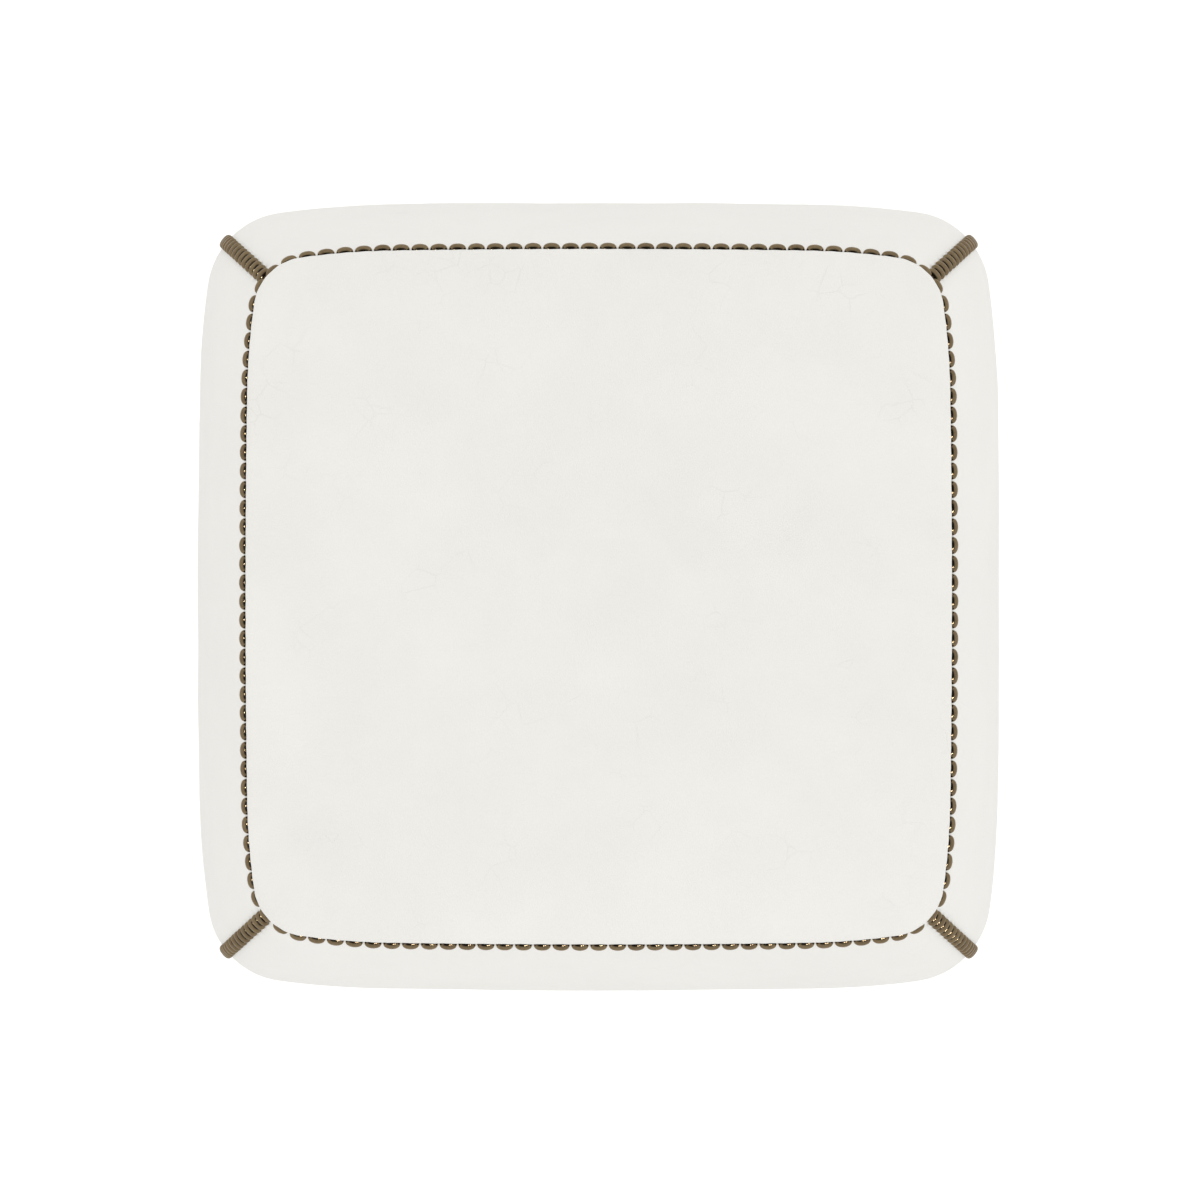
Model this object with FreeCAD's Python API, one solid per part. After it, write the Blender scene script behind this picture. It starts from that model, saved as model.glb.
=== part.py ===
import FreeCAD, Part
import math
import os

os.makedirs("parts", exist_ok=True)

# A barrel-sided leather footstool, in millimetres. +Z is up and the origin is on the
# floor under its middle. The front faces -Y. Its plan is an oblong with rounded corners
# that swells from the top edge to the middle of its height and draws in again below.

# Plan of the seat, and of the sides at their top edge and at the widest height
SEAT_HALF_X = 226.0
SEAT_HALF_Y = 222.5
SEAT_CORNER_RADIUS = 35.0
SEAT_OVERHANG = 2.6
TOP_CORNER_RADIUS = 38.0
TOP_SHOULDER_RADIUS = 482.0
BELLY_HALF_X = 279.0
BELLY_HALF_Y = 274.5
BELLY_CORNER_RADIUS = 58.0
BELLY_SHOULDER_RADIUS = 658.0
SIDE_TURN = math.radians(0.85)
SHOULDER_TURN = math.radians(7.0)
SEAM_TURN = math.radians(39.5)

# Side profile
BOTTOM_EDGE = 15.0
BODY_HEIGHT = 422.0
STEEPNESS = 1.432
JOINT_DEPTH = 5.0
SECTION_DEPTHS = (10, 25, 50, 90, 140)
SECTION_GAP = 3.0

# Seat crown
EDGE_ROLL = 5.5
EDGE_ROLL_ANGLES = (-45, -10, 25, 60)
CROWN_RISE = 15.0
CROWN_FALL = 6.0
CROWN_SCALES = (0.95, 0.87, 0.75, 0.6, 0.45, 0.3)
TOTAL_HEIGHT = 457.0

# Layers
LEATHER = 1.5
WADDING = 6.5
SIDE_FOAM = 12.0
SIDE_BOARD = 4.0
DECK = 18.0
DECK_BEVEL_GAP = 1.0
SEAT_EDGE_INSET = 4.0
UNDER_TURN = 25.0
DUST_COVER = 0.8
DUST_COVER_INSET = 14.0
BOARD_GAP = 0.3

# Frame
POST_LAP = 22.0
RIB_OFFSET = 85.0
RIB_THICKNESS = 18.0
RIB_BACK = 75.0
BATTEN_HEIGHT = 40.0
BATTEN_THICKNESS = 18.0
SCREW_RADIUS = 2.25
SCREW_HEAD_RADIUS = 4.5
SCREW_HEAD_HEIGHT = 3.0
SCREW_LENGTH = 50.0

# Decorative nails
NAIL_PITCH = 12.0
NAIL_HEAD_RADIUS = 5.55
NAIL_HEAD_HEIGHT = 3.6
NAIL_SHANK_RADIUS = 0.9
NAIL_LENGTH = 14.0
NAIL_ROW_DEPTH = 10.5
BACK_COLUMN_GAP = 9.6
NAIL_COLUMN_END = 6.0

# Glides and staples
GLIDE_TOP_RADIUS = 20.0
GLIDE_FOOT_RADIUS = 16.0
GLIDE_EDGE = 3.0
GLIDE_BORE = 2.5
GLIDE_RECESS_RADIUS = 5.5
GLIDE_RECESS_DEPTH = 7.0
GLIDE_INSET = 52.0
GLIDE_SCREW_RADIUS = 2.25
GLIDE_SCREW_LENGTH = 22.0
STAPLE_CROWN = 10.0
STAPLE_WIRE = 0.7
STAPLE_WIDTH = 1.2
STAPLE_LEG = 8.0
STAPLE_INSET = 18.0
STAPLES_PER_SIDE = 9
STAPLE_SPAN = 370.0

# Heights that follow from the sizes above
TOP_EDGE = BOTTOM_EDGE + BODY_HEIGHT
HALF_HEIGHT = BODY_HEIGHT / 2
MIDDLE = BOTTOM_EDGE + HALF_HEIGHT
JOINT = TOP_EDGE - JOINT_DEPTH
DECK_BOTTOM = JOINT - DECK
BASE_BOTTOM = BOTTOM_EDGE + LEATHER
BASE_TOP = BASE_BOTTOM + DECK
GLIDE_HEIGHT = BOTTOM_EDGE - DUST_COVER
FOAM_DEPTH = LEATHER + SIDE_FOAM
BOARD_DEPTH = FOAM_DEPTH + SIDE_BOARD
FRAME_DEPTH = BOARD_DEPTH + BOARD_GAP

# Each plan is half its length, half its width, its corner radius and its shoulder radius
SEAT_PLAN = (SEAT_HALF_X, SEAT_HALF_Y, SEAT_CORNER_RADIUS, TOP_SHOULDER_RADIUS)
TOP_PLAN = (
    SEAT_HALF_X - SEAT_OVERHANG,
    SEAT_HALF_Y - SEAT_OVERHANG,
    TOP_CORNER_RADIUS,
    TOP_SHOULDER_RADIUS,
)
BELLY_PLAN = (BELLY_HALF_X, BELLY_HALF_Y, BELLY_CORNER_RADIUS, BELLY_SHOULDER_RADIUS)

SIDES = ("right", "back", "left", "front")
CORNERS = ("back_right", "back_left", "front_left", "front_right")
QUARTER = math.pi / 2


def mix(low, high, share):
    return low + (high - low) * share


def direction(angle):
    return FreeCAD.Vector(math.cos(angle), math.sin(angle), 0)


def edge_depth(z):
    """Distance down from the top edge, or up from the bottom edge if that is nearer."""
    return max(0.0, min(TOP_EDGE - z, z - BOTTOM_EDGE))


def wall_share(z):
    """Share of the full swell at a height: 0 at both edges and 1 at the widest height."""
    reach = edge_depth(z) / HALF_HEIGHT
    return STEEPNESS * reach - (STEEPNESS - 1) * reach ** (STEEPNESS / (STEEPNESS - 1))


def wall_plan(z):
    """The plan of the sides' cover at a height."""
    share = wall_share(z)
    return [mix(top, belly, share) for top, belly in zip(TOP_PLAN, BELLY_PLAN)]


def quarter_arcs(plan):
    """Centres and radii of the tangent arcs from the middle of +X to the middle of +Y."""
    half_x, half_y, corner_radius, shoulder_radius = plan
    turned = SIDE_TURN + SHOULDER_TURN
    sine = math.sin(SIDE_TURN)
    versine = 1 - math.cos(SIDE_TURN)
    rest = (shoulder_radius - corner_radius) * (math.cos(turned) - math.sin(turned))
    rest += shoulder_radius * (math.sin(SIDE_TURN) - math.cos(SIDE_TURN))
    scale = sine ** 2 - versine ** 2
    radius_x = (sine * (half_y + rest) - versine * (half_x + rest)) / scale
    radius_y = (sine * (half_x + rest) - versine * (half_y + rest)) / scale
    centre_x = FreeCAD.Vector(half_x - radius_x, 0, 0)
    shoulder_x = centre_x + direction(SIDE_TURN) * (radius_x - shoulder_radius)
    corner = shoulder_x + direction(turned) * (shoulder_radius - corner_radius)
    shoulder_y = corner - direction(QUARTER - turned) * (shoulder_radius - corner_radius)
    centre_y = FreeCAD.Vector(0, half_y - radius_y, 0)
    return {
        "side": ((centre_x, radius_x), (centre_y, radius_y)),
        "shoulder": ((shoulder_x, shoulder_radius), (shoulder_y, shoulder_radius)),
        "corner": (corner, corner_radius),
    }


def mirrored(vector, x_sign, y_sign):
    return FreeCAD.Vector(vector.x * x_sign, vector.y * y_sign, 0)


def side_arcs(side, plan, inset):
    """The shoulder, side and shoulder arcs of one side, counter-clockwise from above."""
    arcs = quarter_arcs(plan)
    facing_y = side % 2
    centre, radius = arcs["side"][facing_y]
    shoulder, shoulder_radius = arcs["shoulder"][facing_y]
    sign = 1 if side < 2 else -1
    first = mirrored(shoulder, 1, -1) if not facing_y else shoulder
    last = shoulder if not facing_y else mirrored(shoulder, -1, 1)
    middle = side * QUARTER
    turned = SIDE_TURN + SHOULDER_TURN
    return [
        (first * sign, shoulder_radius - inset, middle - turned, middle - SIDE_TURN),
        (centre * sign, radius - inset, middle - SIDE_TURN, middle + SIDE_TURN),
        (last * sign, shoulder_radius - inset, middle + SIDE_TURN, middle + turned),
    ]


def corner_arc(corner, plan, inset):
    """The arc of one corner, counter-clockwise. Corner 0 is between +X and +Y."""
    centre, radius = quarter_arcs(plan)["corner"]
    x_sign = 1 if corner in (0, 3) else -1
    y_sign = 1 if corner in (0, 1) else -1
    turned = SIDE_TURN + SHOULDER_TURN
    start = corner * QUARTER + turned
    end = (corner + 1) * QUARTER - turned
    return (mirrored(centre, x_sign, y_sign), radius - inset, start, end)


def seam_angle(corner):
    """The direction that a corner's seam faces, a little nearer to the X axis."""
    if corner % 2:
        return (corner + 1) * QUARTER - SEAM_TURN
    return corner * QUARTER + SEAM_TURN


def arc_point(arc, angle, z, scale=1.0):
    centre, radius = arc[:2]
    point = (centre + direction(angle) * radius) * scale
    return FreeCAD.Vector(point.x, point.y, z)


def arc_edge(arc, z, scale=1.0):
    start, end = arc[2:]
    points = [arc_point(arc, angle, z, scale) for angle in (start, (start + end) / 2, end)]
    return Part.Arc(*points).toShape()


def outline_wire(z, plan, inset, scale=1.0):
    """The whole outline of a plan at a height, drawn in by an inset and then scaled."""
    edges = []
    for index in range(4):
        arcs = side_arcs(index, plan, inset) + [corner_arc(index, plan, inset)]
        edges += [arc_edge(arc, z, scale) for arc in arcs]
    return Part.Wire(edges)


def panel_arcs(side, z, depth, to_seams):
    """The arcs of one side at a depth under the cover, with half of each corner if asked."""
    plan = wall_plan(z)
    arcs = side_arcs(side, plan, depth)
    if to_seams:
        before = corner_arc((side - 1) % 4, plan, depth)
        after = corner_arc(side, plan, depth)
        arcs = [before[:2] + (seam_angle((side - 1) % 4), before[3])] + arcs
        arcs = arcs + [after[:2] + (after[2], seam_angle(side))]
    return arcs


def band_wire(z, outer, inner):
    """A closed section between two like rows of arcs."""
    ends = [arc_point(outer[-1], outer[-1][3], z), arc_point(inner[-1], inner[-1][3], z)]
    starts = [arc_point(inner[0], inner[0][2], z), arc_point(outer[0], outer[0][2], z)]
    edges = [arc_edge(arc, z) for arc in outer]
    edges.append(Part.makeLine(*ends))
    edges += [arc_edge(arc, z) for arc in reversed(inner)]
    edges.append(Part.makeLine(*starts))
    return Part.Wire(Part.sortEdges(edges)[0])


def wall_heights(low, high):
    """Heights at which the wall is cut into sections, closer together near its edges."""
    rising = [BOTTOM_EDGE + depth for depth in SECTION_DEPTHS]
    falling = [TOP_EDGE - depth for depth in reversed(SECTION_DEPTHS)]
    heights = rising + [MIDDLE] + falling
    inside = [z for z in heights if low + SECTION_GAP < z < high - SECTION_GAP]
    return [low] + inside + [high]


def side_panel(side, low, high, outer_depth, inner_depth, to_seams=False):
    wires = []
    for z in wall_heights(low, high):
        outer = panel_arcs(side, z, outer_depth, to_seams)
        inner = panel_arcs(side, z, inner_depth, to_seams)
        wires.append(band_wire(z, outer, inner))
    return Part.makeLoft(wires, True)


def side_leather(side):
    """One side of the cover, turned under the base along its bottom edge."""
    wall = side_panel(side, BASE_BOTTOM, JOINT, 0.0, LEATHER, True)
    outer = panel_arcs(side, BASE_BOTTOM, 0.0, True)
    inner = panel_arcs(side, BASE_BOTTOM, UNDER_TURN, True)
    fold = Part.Face(band_wire(BASE_BOTTOM, outer, inner))
    return wall.fuse(fold.extrude(FreeCAD.Vector(0, 0, -LEATHER))).removeSplitter()


def bevelled_panel(low, high):
    """A plywood panel whose sloping edge lies just under the cover."""
    wires = []
    for z in (low, high):
        wires.append(outline_wire(z, wall_plan(z), LEATHER + DECK_BEVEL_GAP))
    return Part.makeLoft(wires, True, True)


def crown_wires(depth):
    """Sections of the seat's low crown at a depth under its leather, from edge to top."""
    wires = []
    for scale in CROWN_SCALES:
        z = TOTAL_HEIGHT - depth - CROWN_RISE * scale ** CROWN_FALL
        wires.append(outline_wire(z, SEAT_PLAN, depth, scale))
    return wires


def seat_surface(depth):
    """Faces of the seat at a depth under its leather, a rolled edge and a crown, and its foot."""
    foot = outline_wire(JOINT, wall_plan(JOINT), depth)
    roll = [foot]
    for degrees in EDGE_ROLL_ANGLES:
        angle = math.radians(degrees)
        radius = EDGE_ROLL - depth
        inset = EDGE_ROLL - radius * math.cos(angle)
        roll.append(outline_wire(TOP_EDGE + radius * math.sin(angle), SEAT_PLAN, inset))
    crown = roll[-1:] + crown_wires(depth)
    faces = Part.makeLoft(roll, False).Faces + Part.makeLoft(crown, False).Faces
    return faces + [Part.Face(crown[-1])], foot


def pad_surface():
    """Faces of the seat foam, thin at its edge and crowned like the cover, and its foot."""
    foot = outline_wire(JOINT, wall_plan(JOINT), LEATHER + SEAT_EDGE_INSET)
    wires = [foot] + crown_wires(LEATHER + WADDING)
    return Part.makeLoft(wires, False).Faces + [Part.Face(wires[-1])], foot


def closed_solid(faces):
    shape = Part.makeCompound(faces)
    shape.sewShape()
    solid = Part.makeSolid(shape.Shells[0])
    if solid.Volume < 0:
        solid.reverse()
    return solid


def seat_layer(outer, inner):
    """The solid between two seat surfaces, closed by the flat ring between their feet."""
    ring = Part.makeFace([outer[1], inner[1]], "Part::FaceMakerBullseye")
    return closed_solid(outer[0] + inner[0] + [ring])


def face_reach(side, z, depth, along):
    """Distance from the middle plane to a side's surface at a place along that side."""
    arcs = quarter_arcs(wall_plan(z))
    facing_y = side % 2
    centre, radius = arcs["side"][facing_y]
    shoulder, shoulder_radius = arcs["shoulder"][facing_y]
    out, across = (shoulder.y, shoulder.x) if facing_y else (shoulder.x, shoulder.y)
    shift = abs(along) - across
    if shift > (shoulder_radius - depth) * math.sin(SIDE_TURN):
        return out + math.sqrt((shoulder_radius - depth) ** 2 - shift ** 2)
    centre_out = centre.y if facing_y else centre.x
    return centre_out + math.sqrt((radius - depth) ** 2 - along ** 2)


def turned_to(side, shape):
    """A shape made on the +X side, turned to another side."""
    turned = shape.copy()
    turned.rotate(FreeCAD.Vector(0, 0, 0), FreeCAD.Vector(0, 0, 1), 90 * side)
    return turned


def polygon_wire(points, z):
    return Part.makePolygon([FreeCAD.Vector(x, y, z) for x, y in points + points[:1]])


def corner_post(corner):
    """A rebated post: its rounded outside takes the nails, its laps carry the boards."""
    wires = []
    for z in wall_heights(BASE_TOP, DECK_BOTTOM):
        plan = wall_plan(z)
        arc = corner_arc(corner, plan, LEATHER)
        centre, radius = corner_arc(corner, plan, FRAME_DEPTH)[:2]
        before = side_arcs(corner, plan, FRAME_DEPTH)[2]
        after = side_arcs((corner + 1) % 4, plan, FRAME_DEPTH)[0]
        lap_angle = POST_LAP / before[1]
        lap_before = arc_point(before, before[3] - lap_angle, z)
        lap_after = arc_point(after, after[2] + lap_angle, z)
        inner = FreeCAD.Vector(lap_after.x, lap_before.y, z)
        if corner % 2:
            inner = FreeCAD.Vector(lap_before.x, lap_after.y, z)
        points = [
            arc_point(arc, arc[3], z),
            arc_point((centre, radius), arc[3], z),
            lap_after,
            inner,
            lap_before,
            arc_point((centre, radius), arc[2], z),
            arc_point(arc, arc[2], z),
        ]
        edges = [arc_edge(arc, z)]
        edges += [Part.makeLine(*pair) for pair in zip(points, points[1:])]
        wires.append(Part.Wire(edges))
    return Part.makeLoft(wires, True)


def side_ribs(side):
    """Two upright plywood ribs whose outer edges carry the side board."""
    ribs = []
    back = face_reach(side, JOINT, FRAME_DEPTH, 0) - RIB_BACK
    for place in (-RIB_OFFSET, RIB_OFFSET):
        near = place - RIB_THICKNESS / 2
        far = place + RIB_THICKNESS / 2
        widest = max(abs(near), abs(far))
        wires = []
        for z in wall_heights(BASE_TOP, DECK_BOTTOM):
            reach = face_reach(side, z, FRAME_DEPTH, widest)
            wires.append(polygon_wire([(back, near), (reach, near), (reach, far), (back, far)], z))
        ribs.append(turned_to(side, Part.makeLoft(wires, True)))
    return ribs


def side_battens(side):
    """Level battens at the widest height, between the posts and the ribs."""
    low = MIDDLE - BATTEN_HEIGHT / 2
    corner = quarter_arcs(wall_plan(MIDDLE))["corner"][0]
    post_face = (corner.x if side % 2 else corner.y) - POST_LAP
    rib_near = RIB_OFFSET - RIB_THICKNESS / 2
    rib_far = RIB_OFFSET + RIB_THICKNESS / 2
    battens = []
    for start, end in ((-post_face, -rib_far), (-rib_near, rib_near), (rib_far, post_face)):
        start_reach = face_reach(side, low, FRAME_DEPTH, start)
        end_reach = face_reach(side, low, FRAME_DEPTH, end)
        points = [
            (start_reach - BATTEN_THICKNESS, start),
            (start_reach, start),
            (end_reach, end),
            (end_reach - BATTEN_THICKNESS, end),
        ]
        face = Part.Face(polygon_wire(points, low))
        battens.append(turned_to(side, face.extrude(FreeCAD.Vector(0, 0, BATTEN_HEIGHT))))
    return battens


def revolved(points):
    """A solid turned about Z from radius and height points, closed along the axis."""
    vectors = [FreeCAD.Vector(radius, 0, z) for radius, z in points]
    face = Part.Face(Part.makePolygon(vectors + vectors[:1]))
    return face.revolve(FreeCAD.Vector(0, 0, 0), FreeCAD.Vector(0, 0, 1), 360)


def frame_screw(place, z, upward):
    """A countersunk screw whose flat head lies in the panel's outer face."""
    points = [
        (0, 0),
        (SCREW_HEAD_RADIUS, 0),
        (SCREW_RADIUS, -SCREW_HEAD_HEIGHT),
        (SCREW_RADIUS, -SCREW_LENGTH + SCREW_HEAD_RADIUS),
        (0, -SCREW_LENGTH),
    ]
    screw = revolved(points)
    if upward:
        screw.rotate(FreeCAD.Vector(0, 0, 0), FreeCAD.Vector(1, 0, 0), 180)
    screw.translate(FreeCAD.Vector(place.x, place.y, z))
    return screw


def frame_screw_places(z):
    """Where the screws of one panel go: one over each post and one over each rib."""
    places = [corner_arc(corner, wall_plan(z), 0)[0] for corner in range(4)]
    for side in range(4):
        outer = face_reach(side, z, FRAME_DEPTH, RIB_OFFSET)
        back = face_reach(side, JOINT, FRAME_DEPTH, 0) - RIB_BACK
        along = direction((side + 1) * QUARTER)
        for place in (-RIB_OFFSET, RIB_OFFSET):
            places.append(direction(side * QUARTER) * ((outer + back) / 2) + along * place)
    return places


def glide_places():
    place_x = SEAT_HALF_X - GLIDE_INSET
    place_y = SEAT_HALF_Y - GLIDE_INSET
    return [FreeCAD.Vector(x, y, 0) for x in (-place_x, place_x) for y in (-place_y, place_y)]


def glide():
    points = [
        (GLIDE_RECESS_RADIUS, 0),
        (GLIDE_FOOT_RADIUS, 0),
        (GLIDE_FOOT_RADIUS + GLIDE_EDGE, GLIDE_EDGE),
        (GLIDE_TOP_RADIUS, GLIDE_HEIGHT),
        (GLIDE_BORE, GLIDE_HEIGHT),
        (GLIDE_BORE, GLIDE_RECESS_DEPTH),
        (GLIDE_RECESS_RADIUS, GLIDE_RECESS_DEPTH),
    ]
    return revolved(points)


def glide_screw():
    points = [
        (0, GLIDE_RECESS_DEPTH - SCREW_HEAD_HEIGHT),
        (SCREW_HEAD_RADIUS, GLIDE_RECESS_DEPTH - SCREW_HEAD_HEIGHT),
        (SCREW_HEAD_RADIUS, GLIDE_RECESS_DEPTH),
        (GLIDE_SCREW_RADIUS, GLIDE_RECESS_DEPTH),
        (GLIDE_SCREW_RADIUS, GLIDE_RECESS_DEPTH + GLIDE_SCREW_LENGTH - SCREW_HEAD_HEIGHT),
        (0, GLIDE_RECESS_DEPTH + GLIDE_SCREW_LENGTH),
    ]
    return revolved(points)


def nail():
    """A domed nail on the Z axis, its head's underside at the origin."""
    rise = NAIL_HEAD_HEIGHT
    sphere = (NAIL_HEAD_RADIUS ** 2 + rise ** 2) / (2 * rise)
    half = math.asin(NAIL_HEAD_RADIUS / sphere) / 2
    middle = FreeCAD.Vector(sphere * math.sin(half), 0, rise - sphere * (1 - math.cos(half)))
    top = FreeCAD.Vector(0, 0, rise)
    rim = FreeCAD.Vector(NAIL_HEAD_RADIUS, 0, 0)
    points = [
        rim,
        FreeCAD.Vector(NAIL_SHANK_RADIUS, 0, 0),
        FreeCAD.Vector(NAIL_SHANK_RADIUS, 0, NAIL_SHANK_RADIUS * 3 - NAIL_LENGTH),
        FreeCAD.Vector(0, 0, -NAIL_LENGTH),
        top,
    ]
    edges = [Part.Arc(top, middle, rim).toShape()]
    edges += [Part.makeLine(*pair) for pair in zip(points, points[1:])]
    face = Part.Face(Part.Wire(edges))
    return face.revolve(FreeCAD.Vector(0, 0, 0), FreeCAD.Vector(0, 0, 1), 360)


def wall_normal(arc_at, angle, z):
    """The cover's outward direction at a height where an arc of it faces an angle."""
    step = 0.5
    facing = direction(angle)
    reach = []
    for height in (z - step, z + step):
        centre, radius = arc_at(height)[:2]
        reach.append(centre.dot(facing) + radius)
    slope = (reach[1] - reach[0]) / (2 * step)
    return FreeCAD.Vector(facing.x, facing.y, -slope).normalize()


def placed_nail(point, normal):
    turn = FreeCAD.Rotation(FreeCAD.Vector(0, 0, 1), normal)
    placed = nail()
    placed.Placement = FreeCAD.Placement(point, turn)
    return placed


def along_arcs(arcs, distance):
    """Which arc of a row is reached after a distance, and the angle that it faces there."""
    for index, (_, radius, start, end) in enumerate(arcs):
        length = radius * (end - start)
        if distance < length or index == len(arcs) - 1:
            return index, start + distance / radius
        distance -= length


def side_row(side):
    """The nails under the seat along one side. A front seam has a nail of the row on it."""
    z = TOP_EDGE - NAIL_ROW_DEPTH
    arcs = panel_arcs(side, z, 0.0, True)
    length = sum(radius * (end - start) for _, radius, start, end in arcs)
    at_back = [CORNERS[corner].startswith("back") for corner in (side - 1, side)]
    half_gaps = sum(at_back) / 2
    count = round(length / NAIL_PITCH - half_gaps) + half_gaps
    first = 0.5 if at_back[0] else 0.0
    nails = []
    for number in range(math.ceil(count - first)):
        index, angle = along_arcs(arcs, (first + number) * length / count)
        normal = wall_normal(lambda height: panel_arcs(side, height, 0.0, True)[index], angle, z)
        nails.append(placed_nail(arc_point(arcs[index], angle, z), normal))
    return nails


def corner_nails(corner):
    """The nail column down one corner's seam, evenly spaced along its profile."""
    angle = seam_angle(corner)
    step = 0.25
    z = TOP_EDGE - NAIL_ROW_DEPTH
    starts_at_row = CORNERS[corner].startswith("front")
    left = NAIL_PITCH if starts_at_row else BACK_COLUMN_GAP
    nails = []
    last = arc_point(corner_arc(corner, wall_plan(z), 0), angle, z)
    while z > BOTTOM_EDGE + NAIL_COLUMN_END:
        point = arc_point(corner_arc(corner, wall_plan(z), 0), angle, z)
        left -= (point - last).Length
        last = point
        if left <= 0:
            normal = wall_normal(lambda height: corner_arc(corner, wall_plan(height), 0), angle, z)
            nails.append(placed_nail(point, normal))
            left += NAIL_PITCH
        z -= step
    return nails


def staples():
    """The staples that hold the dust cover, in a row along each side."""
    group = []
    top = GLIDE_HEIGHT
    for side in range(4):
        out = TOP_PLAN[side % 2] - STAPLE_INSET
        for number in range(STAPLES_PER_SIDE):
            along = STAPLE_SPAN * (number / (STAPLES_PER_SIDE - 1) - 0.5)
            corner = FreeCAD.Vector(out, along - STAPLE_CROWN / 2, top - STAPLE_WIRE)
            staple = Part.makeBox(STAPLE_WIDTH, STAPLE_CROWN, STAPLE_WIRE, corner)
            for start in (0, STAPLE_CROWN - STAPLE_WIRE):
                foot = corner + FreeCAD.Vector(0, start, 0)
                leg = Part.makeBox(STAPLE_WIDTH, STAPLE_WIRE, STAPLE_LEG, foot)
                staple = staple.fuse(leg)
            group.append(turned_to(side, staple.removeSplitter()))
    return group


def copies(shape, places):
    group = []
    for place in places:
        placed = shape.copy()
        placed.translate(place)
        group.append(placed)
    return group


def without(shape, tools):
    return shape.cut(Part.makeCompound(tools))


def dust_cover():
    face = Part.Face(outline_wire(GLIDE_HEIGHT, TOP_PLAN, DUST_COVER_INSET))
    return face.extrude(FreeCAD.Vector(0, 0, DUST_COVER))


def write(name, solids):
    shape = solids if isinstance(solids, Part.Shape) else Part.makeCompound(solids)
    shape.exportStep("parts/" + name + ".step")
    print(name, len(shape.Solids), "solids, valid", shape.isValid(), "%.1f cm3" % (shape.Volume / 1000))


def main():
    deck_screws = [frame_screw(place, JOINT, False) for place in frame_screw_places(DECK_BOTTOM)]
    base_screws = [frame_screw(place, BASE_BOTTOM, True) for place in frame_screw_places(BASE_TOP)]
    frame_screws = deck_screws + base_screws
    glide_screws = copies(glide_screw(), glide_places())

    write("frame_screws", frame_screws)
    write("glide_screws", glide_screws)
    write("top_deck", without(bevelled_panel(DECK_BOTTOM, JOINT), deck_screws))
    write("base_panel", without(bevelled_panel(BASE_BOTTOM, BASE_TOP), base_screws + glide_screws))
    for index in range(4):
        corner = CORNERS[index]
        side = SIDES[index]
        write("corner_post_" + corner, without(corner_post(index), frame_screws))
        write("ribs_" + side, [without(rib, frame_screws) for rib in side_ribs(index)])
        write("battens_" + side, side_battens(index))
        board = side_panel(index, BASE_TOP, DECK_BOTTOM, FOAM_DEPTH, BOARD_DEPTH)
        write("side_board_" + side, board)
        foam = side_panel(index, BASE_TOP, DECK_BOTTOM, LEATHER, FOAM_DEPTH)
        write("side_foam_" + side, foam)
        write("side_leather_" + side, side_leather(index))
        write("corner_nails_" + corner, corner_nails(index))

    under_leather = seat_surface(LEATHER)
    pad = pad_surface()
    write("seat_foam", closed_solid(pad[0] + [Part.Face(pad[1])]))
    write("seat_wadding", seat_layer(under_leather, pad))
    write("seat_leather", seat_layer(seat_surface(0.0), under_leather))
    write("top_nails", [nail for side in range(4) for nail in side_row(side)])
    write("dust_cover", without(dust_cover(), glide_screws))
    write("staples", staples())
    for number, place in enumerate(glide_places()):
        name = ("front_left", "back_left", "front_right", "back_right")[number]
        write("glide_" + name, copies(glide(), [place])[0])


main()
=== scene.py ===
import bpy
import math
import numpy as np
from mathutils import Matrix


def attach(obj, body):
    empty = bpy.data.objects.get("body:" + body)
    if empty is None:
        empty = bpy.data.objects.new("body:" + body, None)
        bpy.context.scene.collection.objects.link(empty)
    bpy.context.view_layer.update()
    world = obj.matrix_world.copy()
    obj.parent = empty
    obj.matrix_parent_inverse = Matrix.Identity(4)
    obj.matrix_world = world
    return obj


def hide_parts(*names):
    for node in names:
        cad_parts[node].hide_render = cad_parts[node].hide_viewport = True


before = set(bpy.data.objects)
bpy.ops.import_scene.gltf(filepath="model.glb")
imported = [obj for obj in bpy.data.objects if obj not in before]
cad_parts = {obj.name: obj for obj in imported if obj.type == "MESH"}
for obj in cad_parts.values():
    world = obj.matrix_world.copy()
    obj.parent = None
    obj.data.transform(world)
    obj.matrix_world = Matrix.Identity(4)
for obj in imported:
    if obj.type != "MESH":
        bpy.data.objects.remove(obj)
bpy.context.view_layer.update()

# All lengths are in metres. A plan is its two half sizes, its corner radius and its shoulder
# radius. The wall runs from TOP_PLAN at both edges out to BELLY_PLAN halfway up.
SEAT_PLAN = np.array([0.226, 0.2225, 0.035, 0.482])
TOP_PLAN = np.array([0.2234, 0.2199, 0.038, 0.482])
BELLY_PLAN = np.array([0.279, 0.2745, 0.058, 0.658])

# How far the outline turns along half a side and along a shoulder, and where the seams stand.
SIDE_TURN = math.radians(0.85)
SHOULDER_TURN = math.radians(7.0)
TURNED = SIDE_TURN + SHOULDER_TURN
SEAM_TURN = math.radians(39.5)

# Heights, how steeply the wall leaves its edges, and the seat's roll and crown.
STEEPNESS = 1.432
BOTTOM_EDGE = 0.015
TOP_EDGE = 0.437
JOINT = 0.432
HALF_HEIGHT = (TOP_EDGE - BOTTOM_EDGE) / 2
MIDDLE = BOTTOM_EDGE + HALF_HEIGHT
TOTAL_HEIGHT = 0.457
EDGE_ROLL = 0.0055
CROWN_RISE = 0.015
CROWN_FALL = 6.0

# Thickness of each layer, and the gap that keeps two layers from meeting.
LEATHER = 0.0015
WADDING = 0.0065
SIDE_FOAM = 0.012
DECK = 0.018
DUST_COVER = 0.0008
LAYER_GAP = 0.0003

SIDES = ("right", "back", "left", "front")
CORNERS = ("back_right", "back_left", "front_left", "front_right")
QUARTER = math.pi / 2
FULL_TURN = 2 * math.pi
OCTANT_CELLS = 104
WALL_ROWS = 120


# Plan outline and profile


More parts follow.
